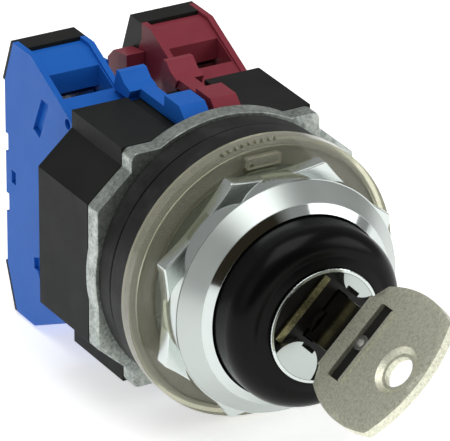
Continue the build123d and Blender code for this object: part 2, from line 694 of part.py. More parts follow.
def block_shell():
    """Moulded shell: side walls, recessed sloped ends with the wire pockets, and two latch arms."""
    outline = wall_outline()
    full = prism_x(outline + [(y, -z) for y, z in reversed(outline)][1:-1], block_in_x, block_out_x)
    for s in (-1, 1):
        lowered = [(block_front - 1, s * (BLOCK_FRONT_HALF_H - END_RECESS)),
                   (block_front + BLOCK_SLOPE_END, s * (BLOCK_HALF_H - END_RECESS)),
                   (cover_front, s * (BLOCK_HALF_H - END_RECESS)),
                   (cover_front, s * (BLOCK_HALF_H + 5)), (block_front - 1, s * (BLOCK_HALF_H + 5))]
        full = full - prism_x(lowered, block_in_x + BLOCK_WALL, block_out_x - BLOCK_WALL)
    shell = full
    cavity_x = (block_in_x + 1.1, block_out_x - 1.1)
    inner = STRIP_LEG_Z + FIT
    shell = shell - block(*cavity_x, block_front + 1.2, block_rear - REAR_WALL, -inner, inner)
    for s in (-1, 1):
        pocket = block_front + POCKET_FRONT
        shell = shell - block(*cavity_x, pocket, pocket + POCKET_LEN, s * CHAMBER_Z, s * (BLOCK_HALF_H + 2))
        shell = shell - block(*cavity_x, pocket, head_front + 2.6, s * CHAMBER_Z, s * 16.1)
        shell = shell - block(block_mid_x - STRIP_W / 2 - FIT, block_mid_x + STRIP_W / 2 + FIT,
                              lug_front - FIT, pocket + 1, s * 8, s * (LUG_TOP_Z + FIT))
        shell = shell - cover_space(s, FIT)
        shell = shell - disc(TERMINAL_HEAD_R + 0.3, head_front, block_rear + 2, x=block_mid_x, z=s * TERMINAL_Z)
    half = PLUNGER_W / 2 + SLIDE_GAP
    shell = shell - block(block_mid_x - half, block_mid_x + half, block_front - 1, block_front + 2, -half, half)
    shell = side_marks(shell) + inboard_rib(1) + inboard_rib(-1)
    return shell + latch_arm(1) + latch_arm(-1)


def inboard_rib(side):
    """Rib on the inboard wall that stands into the gap between the two blocks."""
    front, rear = block_rear - 1 - RIB_LEN, block_rear - 1
    foot, top = side * RIB_FOOT_Z, side * RIB_TOP_Z
    profile = [(front, foot), (front, top), (rear - 1.8, side * (RIB_TOP_Z - 0.6)),
               (rear, side * (RIB_TOP_Z - 2.3)), (rear, foot)]
    rib = prism_x(profile, block_in_x - RIB_REACH, block_in_x - GAP)
    return rib + block(block_in_x - 2 * GAP, block_in_x + 0.4, front, rear, foot, side * (RIB_FOOT_Z + 1.6))


def side_marks(shell):
    """Slot, square hole and rear notches of the outer side wall, the same above and below."""
    outer = block_out_x
    for s in (-1, 1):
        slot = [(block_front + 7.7, s * 15.6), (block_front + 9.8, s * 15.8),
                (block_front + 12.5, s * 10.2), (block_front + 10.5, s * 9.4)]
        shell = shell - prism_x(slot, outer - 0.7, outer + 1)
        shell = shell - block(block_in_x - 1, outer + 1, block_rear - 0.8, block_rear + 1, s * 3.3, s * 6.2)
        shell = shell - disc_x(0.8, outer - 0.6, outer + 1, block_front + 1.9, s * 15.0)
    shell = shell - block(outer - 0.6, outer + 1, block_front + 11.4, block_front + 12.8, -12.0, -10.2)
    return shell - block(outer - 0.8, outer + 1, block_rear - 3.0, block_rear - 1.7, -1.1, 0.9)


def cover_space(side, grow=0.0):
    """The volume that an end of the rear cover takes inside the outer wall."""
    y_out = block_rear + COVER_PROUD + 1
    z_in = BLOCK_CHAMFER_HALF_H - 0.2 - grow
    pts = [
        (cover_front - grow, side * (BLOCK_HALF_H - 2.4 - grow)), (cover_front - grow, side * (BLOCK_HALF_H + 1)),
        (y_out, side * (BLOCK_HALF_H + 1)), (y_out, side * z_in), (block_rear - 1.4 - grow, side * z_in),
        (block_rear - 4.2 - grow, side * (z_in + 2.2)),
    ]
    return prism_x(pts, block_in_x - 1, block_out_x - BLOCK_WALL + grow)


def rear_cover():
    """Black cover over each end of the block, with a lip over the rear edges of the side walls."""
    chamfer_y = block_front + BLOCK_CHAMFER_Y
    y_lip = block_rear + COVER_PROUD
    covers = []
    for s in (-1, 1):
        top, low = s * (BLOCK_HALF_H + FIT), s * BLOCK_CHAMFER_HALF_H
        trim = [(cover_front - 1, 0), (cover_front - 1, top), (chamfer_y + COVER_PROUD, top), (y_lip, low), (y_lip, 0)]
        end = cover_space(s) & prism_x(trim, block_in_x, block_out_x)
        lip = [(chamfer_y + FIT, top), (chamfer_y + COVER_PROUD, top), (y_lip, low), (block_rear + FIT, low)]
        end = end + prism_x(lip, block_in_x, block_out_x)
        covers.append(end - disc(TERMINAL_HEAD_R + 0.3, cover_front - 1, y_lip + 1, x=block_mid_x, z=s * TERMINAL_Z))
    return Compound(covers)


def latch_arm(side):
    """Spring latch of the shell that lies in the housing's groove, with two finger tabs."""
    z0 = HORN_HALF_H
    top = z0 + 1.0
    floor = z0 - LATCH_GROOVE + 0.25
    tab = z0 + 3.0
    arm = block(1.9, block_in_x - 0.3, plate_rear + 1.4, block_front + 2.2, floor, top)
    arm = arm + block(1.9, block_in_x + 0.5, block_front + 0.3, block_front + 4.6, z0 - 4.5, top)
    front = [(plate_rear + 0.4, z0 + 0.3), (plate_rear + 0.9, z0 + 1.5), (plate_rear + 2.6, tab),
             (plate_rear + 6.8, tab), (plate_rear + 7.0, z0 + 0.3)]
    rear = [(block_front - 0.4, top - 0.1), (block_front + 1.5, z0 + 1.5), (block_front + 2.8, tab - 0.3),
            (block_front + 3.7, tab - 0.3), (block_front + 4.6, z0 - 0.5), (block_front + 0.3, z0 - 0.5)]
    arm = arm + prism_x(front, 0.45, block_in_x) + prism_x(rear, 1.6, block_in_x + 1.4)
    return arm if side > 0 else mirror(arm, about=Plane.XY)


def plunger_y():
    """Depth of the centre of the plunger's round tip, at rest on the top of the ramp."""
    return cam_rear + CAM_LIFT + tip_offset


def plunger(bridge_front, push):
    """Plunger with a round tip, a collar that stops the bridge and a shoulder for the contact spring."""
    x = block_mid_x
    half = PLUNGER_W / 2
    tip_y = plunger_y()
    bridge_rear = bridge_front + BRIDGE_T
    spring_end = CONTACT_SPRING_L + 2 * GAP
    if push > 0:
        collar = (bridge_rear + FIT, bridge_rear + 0.7)
        shoulder = (bridge_front - spring_end - SHOULDER_T, bridge_front - spring_end)
        rear = plunger_rear
    else:
        collar = (bridge_front - 0.7, bridge_front - FIT)
        shoulder = (bridge_rear + spring_end, bridge_rear + spring_end + SHOULDER_T)
        rear = shoulder[1]
    rod = block(x - half, x + half, tip_y + 1.5, rear, -half, half)
    rod = rod + disc(TIP_R, tip_y, tip_y + 2, x=x) + Pos(x, tip_y, 0) * Sphere(TIP_R)
    rod = rod + block(x - half - 0.6, x + half + 0.6, *collar, -half - 0.6, half + 0.6)
    return rod + block(x - 3.0, x + 3.0, *shoulder, -3.0, 3.0)


def bridge(bridge_front, push):
    """Copper bridge with two silver tips that face the fixed contacts."""
    x = block_mid_x
    bar = block(x - BRIDGE_W / 2, x + BRIDGE_W / 2, bridge_front, bridge_front + BRIDGE_T, -BRIDGE_HALF, BRIDGE_HALF)
    half = PLUNGER_W / 2 + FIT
    bar = bar - block(x - half, x + half, bridge_front - 1, bridge_front + 2, -half, half)
    for s in (-1, 1):
        y = bridge_front + BRIDGE_T if push > 0 else bridge_front - TIP_T
        bar = bar + disc(1.2, y, y + TIP_T, x=x, z=s * TIP_Z)
    return bar


def contact_spring(bridge_front, push):
    """Light spring between the plunger's shoulder and the bridge."""
    if push > 0:
        start = bridge_front - CONTACT_SPRING_L - GAP
    else:
        start = bridge_front + BRIDGE_T + GAP
    return coil(2.7, 0.2, CONTACT_SPRING_L, 2, block_mid_x, start)


def fixed_contact(side, face):
    """Stepped brass strip from the terminal's threaded end to the contact tip of one end."""
    x = block_mid_x
    x0, x1 = x - STRIP_W / 2, x + STRIP_W / 2
    strip = block(x0, x1, strip_front, strip_front + STRIP_T, side * (TIP_Z - 1.6), side * STRIP_LEG_Z)
    strip = strip + block(x0, x1, lug_front, strip_front + STRIP_T, side * (STRIP_LEG_Z - STRIP_T), side * STRIP_LEG_Z)
    strip = strip + block(x0, x1, lug_front, lug_front + STRIP_T, side * (STRIP_LEG_Z - STRIP_T), side * LUG_TOP_Z)
    tip_y = strip_front - TIP_T if face < 0 else strip_front + STRIP_T
    strip = strip + disc(1.2, tip_y, tip_y + TIP_T, x=x, z=side * TIP_Z)
    return strip - disc(TERMINAL_SCREW_R + RUNNING, lug_front - 1, lug_front + 3, x=x, z=side * TERMINAL_Z)


def terminal_screws():
    """The two terminal screws of a block, heads towards the rear."""
    screws = []
    for s in (-1, 1):
        z = s * TERMINAL_Z
        head = disc(TERMINAL_HEAD_R, head_front, head_front + 2.0, x=block_mid_x, z=z)
        head = head - block(block_mid_x - 3, block_mid_x + 3, head_front + 1.0, head_front + 3, z - 0.4, z + 0.4)
        screws.append(head + disc(TERMINAL_SCREW_R, lug_front + 0.3, head_front + 0.5, x=block_mid_x, z=z))
    return Compound(screws)


def wire_clamps():
    """Square clamp plates under the terminal screws' heads."""
    clamps = []
    for s in (-1, 1):
        z = s * TERMINAL_Z
        plate = block(block_mid_x - 3.2, block_mid_x + 3.2, clamp_front, clamp_front + CLAMP_T, z - 2.4, z + 2.4)
        clamps.append(plate - disc(TERMINAL_SCREW_R + RUNNING, clamp_front - 1, clamp_front + 3, x=block_mid_x, z=z))
    return Compound(clamps)


def return_spring(bridge_front, push):
    """Spring between the plunger's rear end and the shell's rear wall, at its rest length."""
    start = plunger_rear
    if push < 0:
        start = bridge_front + BRIDGE_T + CONTACT_SPRING_L + 2 * GAP + SHOULDER_T
    length = block_rear - REAR_WALL - start - 2 * GAP
    return coil(1.9, 0.22, length, 2.5, block_mid_x, start + GAP)


def save_block(name, closed_at_rest, flip):
    """Writes one contact block. The closed one carries its bridge in front of the strips."""
    travel_gap = GAP
    if closed_at_rest:
        bridge_front = strip_front - 2 * TIP_T - travel_gap - BRIDGE_T
        push, face = 1, -1
    else:
        bridge_front = strip_front + STRIP_T + 2 * TIP_T + travel_gap + CAM_LIFT
        push, face = -1, 1
    pieces = {
        "shell": block_shell(),
        "rear_cover": rear_cover(),
        "plunger": plunger(bridge_front, push),
        "bridge": bridge(bridge_front, push),
        "contact_spring": contact_spring(bridge_front, push),
        "return_spring": return_spring(bridge_front, push),
        "upper_contact": fixed_contact(1, face),
        "lower_contact": fixed_contact(-1, face),
        "terminal_screws": terminal_screws(),
        "wire_clamps": wire_clamps(),
    }
    for piece, shape in pieces.items():
        save(mirror(shape, about=Plane.YZ) if flip else shape, f"{name}_{piece}")


# ---- write every node --------------------------------------------------------------------
os.makedirs("parts", exist_ok=True)
save(operator_body(), "operator_body")
save(locking_ring(), "locking_ring")
save(thrust_washer(), "thrust_washer")
save(gasket(GASKET_FRONT_R, 0, GASKET_FRONT_T), "front_gasket")
save(gasket(GASKET_REAR_R, plate_front - GASKET_REAR_T, plate_front, GASKET_GROOVE_W), "rear_gasket")
save(bezel_collar(), "bezel_collar")
save(lock_barrel(), "lock_barrel")
save(barrel_clip(), "barrel_clip")
save(lock_plug(), "lock_plug")
save(plug_face(), "plug_face")
save(shutter_spring(), "shutter_spring")
for n in range(WAFER_COUNT):
    save(wafer(n), f"wafer_{n + 1}")
save(key_blade(), "key_blade")
save(key_bow(), "key_bow")
save(key_inlay(), "key_inlay")
save(key_rivet(), "key_rivet")
save(adapter_housing(), "adapter_housing")
save(housing_screws(), "housing_screws")
save(cam_rotor(), "cam_rotor")
save(cam_screw(), "cam_screw")
save(detent_balls(), "detent_balls")
save(detent_springs(), "detent_springs")
save_block("no_block", True, True)
save_block("nc_block", False, False)
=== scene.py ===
"""Looks, light and camera for a key-operated selector switch with two contact blocks."""

import logging
import math
from dataclasses import dataclass, field
from enum import Enum
from typing import Iterable, Sequence

import bmesh
import bpy
from mathutils import Matrix, Vector


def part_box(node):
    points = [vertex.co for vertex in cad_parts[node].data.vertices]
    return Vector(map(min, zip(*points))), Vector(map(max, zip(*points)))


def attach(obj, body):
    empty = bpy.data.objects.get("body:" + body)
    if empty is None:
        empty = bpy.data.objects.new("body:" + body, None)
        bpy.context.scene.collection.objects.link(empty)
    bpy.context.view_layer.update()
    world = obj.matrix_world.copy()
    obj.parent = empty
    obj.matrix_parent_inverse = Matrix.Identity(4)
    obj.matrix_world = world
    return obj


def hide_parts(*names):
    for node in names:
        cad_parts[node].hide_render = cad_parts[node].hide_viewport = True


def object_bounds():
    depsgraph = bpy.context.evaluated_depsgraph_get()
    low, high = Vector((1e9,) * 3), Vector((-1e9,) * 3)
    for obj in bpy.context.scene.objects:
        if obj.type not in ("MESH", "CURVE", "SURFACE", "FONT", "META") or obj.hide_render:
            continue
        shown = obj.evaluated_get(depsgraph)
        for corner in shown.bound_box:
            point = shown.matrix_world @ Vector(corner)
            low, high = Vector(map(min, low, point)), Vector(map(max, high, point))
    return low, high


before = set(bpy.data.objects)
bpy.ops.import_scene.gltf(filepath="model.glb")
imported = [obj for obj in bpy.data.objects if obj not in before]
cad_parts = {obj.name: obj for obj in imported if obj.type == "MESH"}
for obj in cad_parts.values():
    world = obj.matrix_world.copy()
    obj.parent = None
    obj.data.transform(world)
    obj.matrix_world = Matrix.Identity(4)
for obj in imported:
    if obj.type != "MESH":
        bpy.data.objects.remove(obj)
CAD_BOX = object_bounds()
MM = 0.001
Colour = tuple[float, float, float]
log = logging.getLogger("key_switch")


class Axis(Enum):
    """Which way a turned piece's axis runs."""

    LOCK = (0.0, 1.0, 0.0)


class Side(Enum):
    """The two contact blocks, by the contact each carries."""

    NORMALLY_OPEN = "no"
    NORMALLY_CLOSED = "nc"


def grey(value: float) -> Colour:
    """A neutral colour of one value."""
    return (value, value, value)


class NodeSheet:
    """A material's node tree, with short calls for the nodes that the finishes share."""

    def __init__(self, name: str) -> None:
        """Makes an empty material with one Principled shader.

        Args:
            name: The material's name.
        """
        self.material = bpy.data.materials.new(name)
        self.material.use_nodes = True
        self.tree = self.material.node_tree
        self.tree.nodes.clear()
        self.output = self.tree.nodes.new("ShaderNodeOutputMaterial")
        self.shader = self.tree.nodes.new("ShaderNodeBsdfPrincipled")
        self.tree.links.new(self.shader.outputs["BSDF"], self.output.inputs["Surface"])
        self.coords = self.tree.nodes.new("ShaderNodeTexCoord")

    def set(self, **values: float) -> "NodeSheet":
        """Sets the shader's own sockets by name, with underscores for spaces.

        Args:
            values: Socket names and numbers or colours.

        Returns:
            This sheet.
        """
        for name, value in values.items():
            socket = self.shader.inputs[name.replace("_", " ")]
            socket.default_value = (*value, 1.0) if isinstance(value, tuple) else value
        return self

    def noise(self, size: float, detail: float = 4.0, roughness: float = 0.5) -> bpy.types.NodeSocket:
        """Noise on Object coordinates whose spots are about one size.

        Args:
            size: Size of the largest spots, in metres.
            detail: Octaves of finer spots.
            roughness: How strong the finer spots are.

        Returns:
            The noise value.
        """
        node = self.tree.nodes.new("ShaderNodeTexNoise")
        node.inputs["Scale"].default_value = 1.0 / size
        node.inputs["Detail"].default_value = detail
        node.inputs["Roughness"].default_value = roughness
        self.tree.links.new(self.coords.outputs["Object"], node.inputs["Vector"])
        return node.outputs["Fac"]

    def ramp(self, value: bpy.types.NodeSocket,
             stops: Iterable[tuple[float, Colour]]) -> bpy.types.NodeSocket:
        """Turns a value into a colour.

        Args:
            value: The value.
            stops: Positions and colours.

        Returns:
            The colour.
        """
        node = self.tree.nodes.new("ShaderNodeValToRGB")
        elements = node.color_ramp.elements
        stops = list(stops)
        while len(elements) < len(stops):
            elements.new(0.5)
        for element, (position, colour) in zip(elements, stops):
            element.position = position
            element.color = (*colour, 1.0)
        self.tree.links.new(value, node.inputs["Fac"])
        return node.outputs["Color"]

    def span(self, value: bpy.types.NodeSocket, low: float, high: float) -> bpy.types.NodeSocket:
        """Maps 0..1 to a range of numbers.

        Args:
            value: The value.
            low: Result at 0.
            high: Result at 1.

        Returns:
            The mapped value.
        """
        node = self.tree.nodes.new("ShaderNodeMapRange")
        node.inputs["To Min"].default_value = low
        node.inputs["To Max"].default_value = high
        self.tree.links.new(value, node.inputs["Value"])
        return node.outputs["Result"]

    def paint(self, colour: bpy.types.NodeSocket) -> "NodeSheet":
        """Links a colour to the shader."""
        self.tree.links.new(colour, self.shader.inputs["Base Color"])
        return self

    def gloss(self, roughness: bpy.types.NodeSocket) -> "NodeSheet":
        """Links a roughness to the shader."""
        self.tree.links.new(roughness, self.shader.inputs["Roughness"])
        return self

    def emboss(self, height: bpy.types.NodeSocket, depth: float) -> "NodeSheet":
        """Adds fine relief.

        Args:
            height: The height value.
            depth: Depth of the relief, in metres.

        Returns:
            This sheet.
        """
        node = self.tree.nodes.new("ShaderNodeBump")
        node.inputs["Distance"].default_value = depth
        node.inputs["Strength"].default_value = 1.0
        self.tree.links.new(height, node.inputs["Height"])
        self.tree.links.new(node.outputs["Normal"], self.shader.inputs["Normal"])
        return self


@dataclass(frozen=True)
class Moulded:
    """Moulded thermoplastic: slight colour drift, a fine spark-eroded texture and uneven gloss."""

    name: str
    colour: Colour
    dark: Colour
    roughness: float = 0.42
    grain: float = 0.00035
    depth: float = 0.00002
    shine: float = 0.2
    drift_size: float = 0.012
    cloud_size: float = 0.004
    index: float = 1.48

    def material(self) -> bpy.types.Material:
        """Makes the material.

        Returns:
            The material.
        """
        sheet = NodeSheet(self.name)
        drift = sheet.noise(self.drift_size, 3.0, 0.6)
        sheet.paint(sheet.ramp(drift, [(0.3, self.dark), (0.7, self.colour)]))
        cloud = sheet.noise(self.cloud_size, 4.0)
        sheet.gloss(sheet.span(cloud, self.roughness - 0.08, self.roughness + 0.1))
        sheet.emboss(sheet.noise(self.grain, 3.0, 0.6), self.depth)
        return sheet.set(IOR=self.index, Specular_IOR_Level=self.shine).material


@dataclass(frozen=True)
class Plated:
    """Polished plating: faint haze and hairline wipe marks."""

    name: str
    colour: Colour
    roughness: float = 0.06
    haze: float = 0.10
    depth: float = 0.0000015
    cloud_size: float = 0.006
    wipe_size: float = 0.0012
    dulling: float = 0.93

    def material(self) -> bpy.types.Material:
        """Makes the material.

        Returns:
            The material.
        """
        sheet = NodeSheet(self.name)
        cloud = sheet.noise(self.cloud_size, 5.0, 0.6)
        dull = tuple(self.dulling * c for c in self.colour)
        sheet.paint(sheet.ramp(cloud, [(0.25, dull), (0.75, self.colour)]))
        sheet.gloss(sheet.span(cloud, self.roughness, self.haze))
        sheet.emboss(sheet.noise(self.wipe_size, 5.0, 0.7), self.depth)
        return sheet.set(Metallic=1.0).material


@dataclass(frozen=True)
class Blasted:
    """Blasted or cast metal: speckled colour and a fine pitted relief."""

    name: str
    light: Colour
    mean: Colour
    dark: Colour
    speck: float = 0.0003
    patch: float = 0.003
    roughness: float = 0.42
    depth: float = 0.00003
    patch_share: float = 0.45

    def material(self) -> bpy.types.Material:
        """Makes the material.

        Returns:
            The material.
        """
        sheet = NodeSheet(self.name)
        mix = sheet.tree.nodes.new("ShaderNodeMix")
        mix.data_type = "FLOAT"
        mix.inputs["Factor"].default_value = self.patch_share
        sheet.tree.links.new(sheet.noise(self.speck, 3.0, 0.7), mix.inputs[2])
        sheet.tree.links.new(sheet.noise(self.patch, 4.0, 0.6), mix.inputs[3])
        value = mix.outputs[0]
        sheet.paint(sheet.ramp(value, [(0.34, self.dark), (0.5, self.mean), (0.64, self.light)]))
        sheet.gloss(sheet.span(value, self.roughness + 0.12, self.roughness - 0.08))
        sheet.emboss(sheet.noise(self.speck, 4.0, 0.7), self.depth)
        return sheet.set(Metallic=1.0).material


@dataclass(frozen=True)
class SoftRubber:
    """Black rubber: dull, with a dusty bloom in patches."""

    name: str
    colour: Colour
    bloom: Colour
    cloud_size: float = 0.005
    grain: float = 0.0005
    depth: float = 0.00003

    def material(self) -> bpy.types.Material:
        """Makes the material.

        Returns:
            The material.
        """
        sheet = NodeSheet(self.name)
        cloud = sheet.noise(self.cloud_size, 6.0, 0.65)
        sheet.paint(sheet.ramp(cloud, [(0.45, self.colour), (0.75, self.bloom)]))
        sheet.gloss(sheet.span(cloud, 0.42, 0.62))
        sheet.emboss(sheet.noise(self.grain, 4.0, 0.6), self.depth)
        return sheet.set(IOR=1.5, Specular_IOR_Level=0.15).material


@dataclass(frozen=True)
class ClearPlastic:
    """Clear plastic with a yellow tint and a faint haze."""

    name: str
    tint: Colour
    roughness: float = 0.08
    haze_size: float = 0.004
    ripple_size: float = 0.003
    ripple_depth: float = 0.000004
    clearness: float = 0.72

    def material(self) -> bpy.types.Material:
        """Makes the material.

        Returns:
            The material.
        """
        sheet = NodeSheet(self.name)
        haze = sheet.noise(self.haze_size, 4.0, 0.6)
        pale = tuple(min(1.0, c * 1.06) for c in self.tint)
        sheet.paint(sheet.ramp(haze, [(0.3, self.tint), (0.7, pale)]))
        sheet.gloss(sheet.span(haze, self.roughness, self.roughness + 0.12))
        sheet.emboss(sheet.noise(self.ripple_size, 2.0, 0.5), self.ripple_depth)
        return sheet.set(IOR=1.46, Transmission_Weight=self.clearness).material


class Finishes:
    """Every finish on the switch, made once."""

    def __init__(self) -> None:
        """Makes the materials."""
        make = {
            "chrome": Plated("ring_chrome", (0.60, 0.65, 0.63)),
            "nut": Plated("nut_chrome", (0.66, 0.71, 0.69), 0.20, 0.28),
            "satin": Plated("ring_satin_chrome", (0.50, 0.54, 0.52), 0.30, 0.38),
            "plug_chrome": Plated("plug_chrome", (0.45, 0.49, 0.47), 0.24, 0.32),
            "zinc": Blasted("body_zinc", (0.60, 0.63, 0.59), (0.40, 0.44, 0.41), (0.17, 0.19, 0.18),
                            0.0006, 0.0035, 0.40, 0.00004),
            "washer": ClearPlastic("washer_clear", (0.82, 0.81, 0.62)),
            "rubber": SoftRubber("gasket_rubber", grey(0.016), grey(0.042)),
            "collar": Moulded("collar_gloss_black", grey(0.003), grey(0.002), 0.24, 0.002, 0.000004,
                              shine=0.12),
            "face": Moulded("lock_face_black", (0.007, 0.006, 0.005), grey(0.003), 0.35),
            "strip": Blasted("strip_brass", (0.34, 0.32, 0.17), (0.16, 0.15, 0.08), (0.06, 0.05, 0.03),
                             0.00025),
            "blade": Plated("blade_polished", (0.55, 0.54, 0.48), 0.10, 0.18),
            "key": Blasted("key_nickel", (0.88, 0.88, 0.73), (0.74, 0.74, 0.60), (0.46, 0.46, 0.37),
                           0.00022, 0.0005, 0.48, 0.00003),
            # Painted shade: the near-black inlay colour stands in for the shade of the key bow's deep slot.
            "inlay": Moulded("key_inlay_black", grey(0.010), grey(0.006), 0.5),
            "steel": Plated("plated_steel", (0.60, 0.60, 0.57), 0.22, 0.34),
            "housing": Moulded("housing_black", (0.019, 0.020, 0.019), (0.013, 0.014, 0.013),
                               0.46, shine=0.08),
            "cover": Moulded("cover_black", (0.016, 0.017, 0.015), (0.010, 0.011, 0.010),
                             0.42, shine=0.1),
            "blue": Moulded("block_blue", (0.016, 0.140, 0.560), (0.012, 0.118, 0.500),
                            0.36, shine=0.12),
            "red": Moulded("block_red", (0.270, 0.042, 0.060), (0.215, 0.030, 0.045),
                           0.38, shine=0.15),
            "white": Moulded("cam_white", grey(0.75), grey(0.68), 0.4),
            "brass": Plated("contact_brass", (0.75, 0.58, 0.28), 0.2, 0.35),
            "copper": Plated("bridge_copper", (0.78, 0.45, 0.30), 0.2, 0.35),
        }
        self.made = {key: finish.material() for key, finish in make.items()}

    def __getitem__(self, key: str) -> bpy.types.Material:
        """The material of that name."""
        return self.made[key]


class Workshop:
    """Makes pieces, dresses them and fixes them to the frame's bodies.

    Distances are in metres and angles in degrees.
    """

    merge: float = 1e-7
    cad_merge: float = 2e-6
    flat_angle: float = 0.6
    ring_angle: float = 20.0
    ring_steps: int = 3
    soft_angle: float = 32.0
    soft_steps: int = 2
    soft_shading: float = 40.0

    def __init__(self, finishes: Finishes) -> None:
        """Keeps the finishes at hand.

        Args:
            finishes: The finishes.
        """
        self.finishes = finishes

    def put(self, piece: bpy.types.Object, body: str, finish: str,
            nodes: Sequence[str] = ()) -> bpy.types.Object:
        """Dresses a piece, fixes it to a body and lets it stand for CAD nodes.

        Args:
            piece: The piece.
            body: The body it moves with.
            finish: The finish's name.
            nodes: CAD nodes that it stands for.

        Returns:
            The piece.
        """
        piece.data.materials.clear()
        piece.data.materials.append(self.finishes[finish])
        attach(piece, body)
        if nodes:
            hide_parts(*nodes)
        log.info("%s: %d faces", piece.name, len(piece.data.polygons))
        return piece

    def dress(self, node: str, finish: str) -> None:
        """Gives a CAD node a finish.

        Args:
            node: The node.
            finish: The finish's name.
        """
        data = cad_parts[node].data
        data.materials.clear()
        data.materials.append(self.finishes[finish])
        log.info("%s: carried over", node)

    @staticmethod
    def link(name: str, mesh: bpy.types.Mesh) -> bpy.types.Object:
        """Puts a mesh in the scene as an object at the origin.

        Args:
            name: The object's name.
            mesh: Its mesh.

        Returns:
            The object.
        """
        piece = bpy.data.objects.new(name, mesh)
        bpy.context.scene.collection.objects.link(piece)
        return piece

    def finish_mesh(self, name: str, bm: bmesh.types.BMesh, sharp: float = 35.0) -> bpy.types.Object:
        """Turns a bmesh into a smooth-shaded object with sharp edges kept.

        Args:
            name: The piece's name.
            bm: The bmesh, which is freed.
            sharp: Angle over which an edge stays sharp, in degrees.

        Returns:
            The object.
        """
        bmesh.ops.remove_doubles(bm, verts=bm.verts, dist=self.merge)
        bmesh.ops.recalc_face_normals(bm, faces=bm.faces)
        corner_normals = self.weighted_normals(bm, math.cos(math.radians(sharp)))
        mesh = bpy.data.meshes.new(name)
        bm.to_mesh(mesh)
        bm.free()
        mesh.shade_smooth()
        mesh.normals_split_custom_set(corner_normals)
        return self.link(name, mesh)

    @staticmethod
    def weighted_normals(bm: bmesh.types.BMesh, limit: float) -> list[tuple[float, float, float]]:
        """Corner normals that follow the large faces, so that flat faces beside a rounding stay flat.

        Args:
            bm: The bmesh.
            limit: Cosine of the angle over which two faces don't share a normal.

        Returns:
            One normal per face corner, in face order.
        """
        bm.faces.ensure_lookup_table()
        bm.normal_update()
        normals = [face.normal.copy() for face in bm.faces]
        areas = [face.calc_area() for face in bm.faces]
        bm.faces.index_update()
        result = []
        for face in bm.faces:
            own = normals[face.index]
            for loop in face.loops:
                total = Vector()
                for other in loop.vert.link_faces:
                    if own.dot(normals[other.index]) >= limit:
                        total += normals[other.index] * areas[other.index]
                total = total.normalized() if total.length > 1e-15 else own
                result.append(tuple(total))
        return result

    def turned(self, name: str, profile: Sequence[tuple[float, float]], rounding: float = 0.0,
               steps: int = 160) -> bpy.types.Object:
        """A piece turned about the lock's axis from a closed profile.

        Args:
            name: The piece's name.
            profile: (radius, y) points, in millimetres.
            rounding: Radius on its sharp rings, in millimetres.
            steps: Steps around the axis.

        Returns:
            The object.
        """
        bm = bmesh.new()
        verts = [bm.verts.new((r * MM, y * MM, 0.0)) for r, y in profile]
        for start, end in zip(verts, verts[1:] + verts[:1]):
            bm.edges.new((start, end))
        bmesh.ops.spin(bm, geom=bm.verts[:] + bm.edges[:], cent=(0, 0, 0), axis=Axis.LOCK.value,
                       angle=math.tau, steps=steps, use_merge=True)
        bmesh.ops.remove_doubles(bm, verts=bm.verts, dist=self.merge)
        bmesh.ops.recalc_face_normals(bm, faces=bm.faces)
        if rounding:
            rings = [e for e in bm.edges
                     if len(e.link_faces) == 2 and e.calc_face_angle(0.0) > math.radians(self.ring_angle)
                     and abs(e.verts[0].co.y - e.verts[1].co.y) < self.merge]
            bmesh.ops.bevel(bm, geom=rings, offset=rounding * MM, affect="EDGES", segments=self.ring_steps,
                            profile=0.5, material=-1, clamp_overlap=True)
        return self.finish_mesh(name, bm)

    def softened(self, name: str, node: str, width: float) -> bpy.types.Object:
        """A copy of a CAD node with its sharp edges rounded.

        Args:
            name: The piece's name.
            node: The CAD node.
            width: Width of the rounding, in millimetres.

        Returns:
            The object.
        """
        bm = bmesh.new()
        bm.from_mesh(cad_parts[node].data)
        bmesh.ops.remove_doubles(bm, verts=bm.verts, dist=self.cad_merge)
        bmesh.ops.dissolve_limit(bm, angle_limit=math.radians(self.flat_angle), verts=bm.verts,
                                 edges=bm.edges)
        sharp = [e for e in bm.edges
                 if len(e.link_faces) == 2 and e.calc_face_angle(0.0) > math.radians(self.soft_angle)]
        bmesh.ops.bevel(bm, geom=sharp, offset=width * MM, affect="EDGES", segments=self.soft_steps,
                        profile=0.5, material=-1, clamp_overlap=True)
        return self.finish_mesh(name, bm, self.soft_shading)


